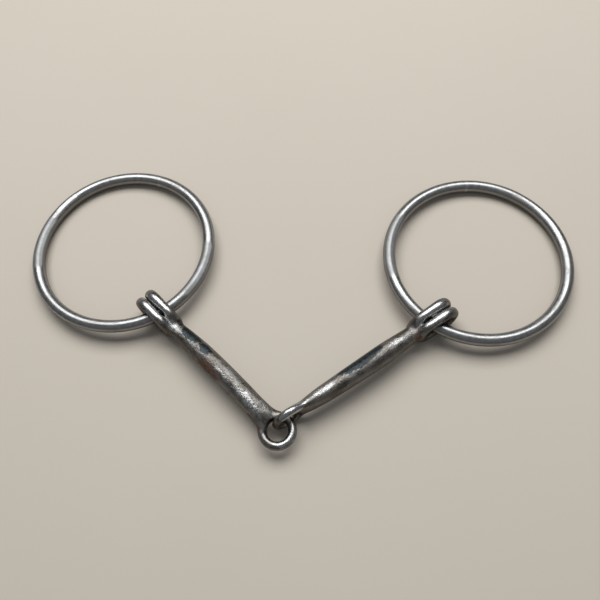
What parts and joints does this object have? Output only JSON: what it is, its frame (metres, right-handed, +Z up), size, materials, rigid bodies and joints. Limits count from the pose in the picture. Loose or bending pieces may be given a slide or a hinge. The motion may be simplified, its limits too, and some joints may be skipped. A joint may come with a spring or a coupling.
{
  "type": "snaffle bit",
  "caption": "Loose-ring snaffle bit: a jointed mouthpiece with interlinked eyes at the centre and a round ring held in forked loops at each end.",
  "frame": {"origin": "middle of the outline of the bit as it lies, on the surface it lies on", "axes": "+X from the left ring to the right ring, +Y from the centre joint towards the rings, +Z up off the surface"},
  "size_m": [0.2204, 0.1212, 0.0143],
  "materials": {
    "ring_steel": "satin stainless wire, lightly scuffed",
    "mouthpiece_steel": "forged steel, worn smooth, browned in patches by rust"
  },
  "bodies": {
    "cannon_left": {"cannon_left": "mouthpiece_steel"},
    "cannon_right": {"cannon_right": "mouthpiece_steel"},
    "ring_left": {"ring_left": "ring_steel"},
    "ring_right": {"ring_right": "ring_steel"}
  },
  "joints": [
    {"name": "mouthpiece_fold", "type": "hinge", "parent": "cannon_left", "child": "cannon_right", "pos_m": [-0.00043, -0.05345, 0.00594], "axis": [0, 0, -1], "range_deg": [-32, 190]},
    {"name": "ring_left_swing", "type": "hinge", "parent": "cannon_left", "child": "ring_left", "pos_m": [-0.0512, -0.0119, 0.0065], "axis": [0.8059, 0.592, 0], "range_deg": [-90, 90]},
    {"name": "ring_right_swing", "type": "hinge", "parent": "cannon_right", "child": "ring_right", "pos_m": [0.05324, -0.00732, 0.0065], "axis": [0.8453, -0.5344, 0], "range_deg": [-90, 90]}
  ]
}
